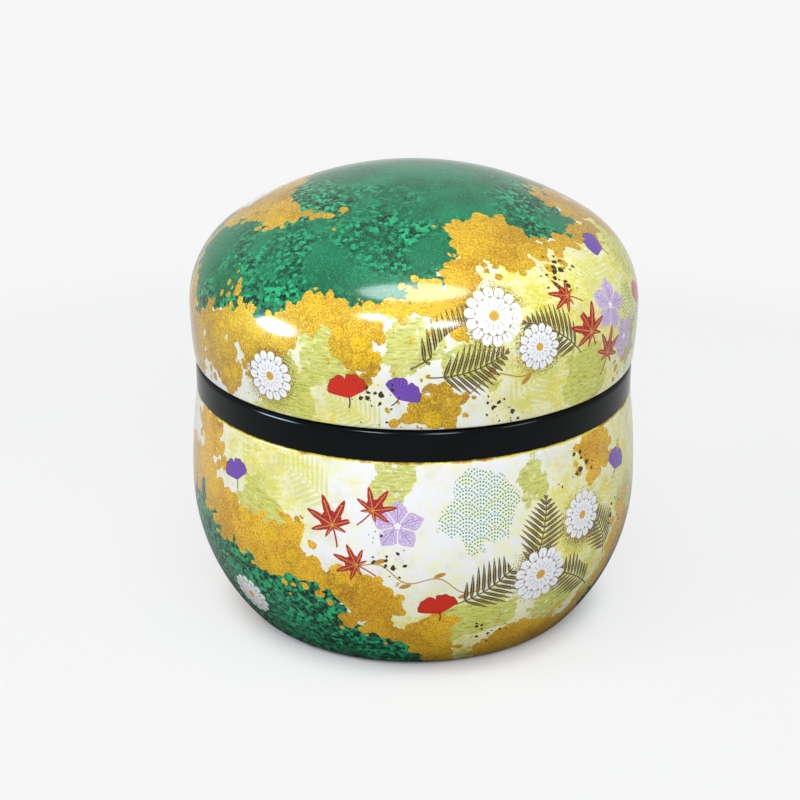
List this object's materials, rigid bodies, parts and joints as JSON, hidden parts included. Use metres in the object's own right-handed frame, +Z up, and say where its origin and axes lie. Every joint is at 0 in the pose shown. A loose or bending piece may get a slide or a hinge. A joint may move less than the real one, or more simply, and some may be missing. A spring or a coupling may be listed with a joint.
{
  "type": "tea caddy",
  "caption": "Jujube-shaped tinplate tea caddy with a domed lift-off lid, a black neck band and a push-in inner lid with a pull bar.",
  "frame": {"origin": "middle of the base, on the surface that the caddy stands on", "axes": "+Z up along the axis of revolution, +X along the inner lid's pull bar, the pictured front faces -Y"},
  "size_m": [0.092, 0.092, 0.0927],
  "materials": {
    "printed_tin": "glossy clear-lacquered print on tinplate, bright tin inside",
    "black_neck": "smooth black moulding, semi-gloss",
    "inner_lid_plastic": "milky soft plastic, satin"
  },
  "bodies": {
    "base": {"body_shell": "printed_tin", "neck_ring": "black_neck"},
    "inner_lid": {"inner_lid": "inner_lid_plastic"},
    "lid": {"lid_shell": "printed_tin"}
  },
  "joints": [
    {"name": "inner_lid_lift", "type": "slide", "parent": "base", "child": "inner_lid", "axis": [0, 0, 1], "range_m": [0, 0.05]},
    {"name": "lid_lift", "type": "slide", "parent": "inner_lid", "child": "lid", "axis": [0, 0, 1], "range_m": [0, 0.06]}
  ]
}
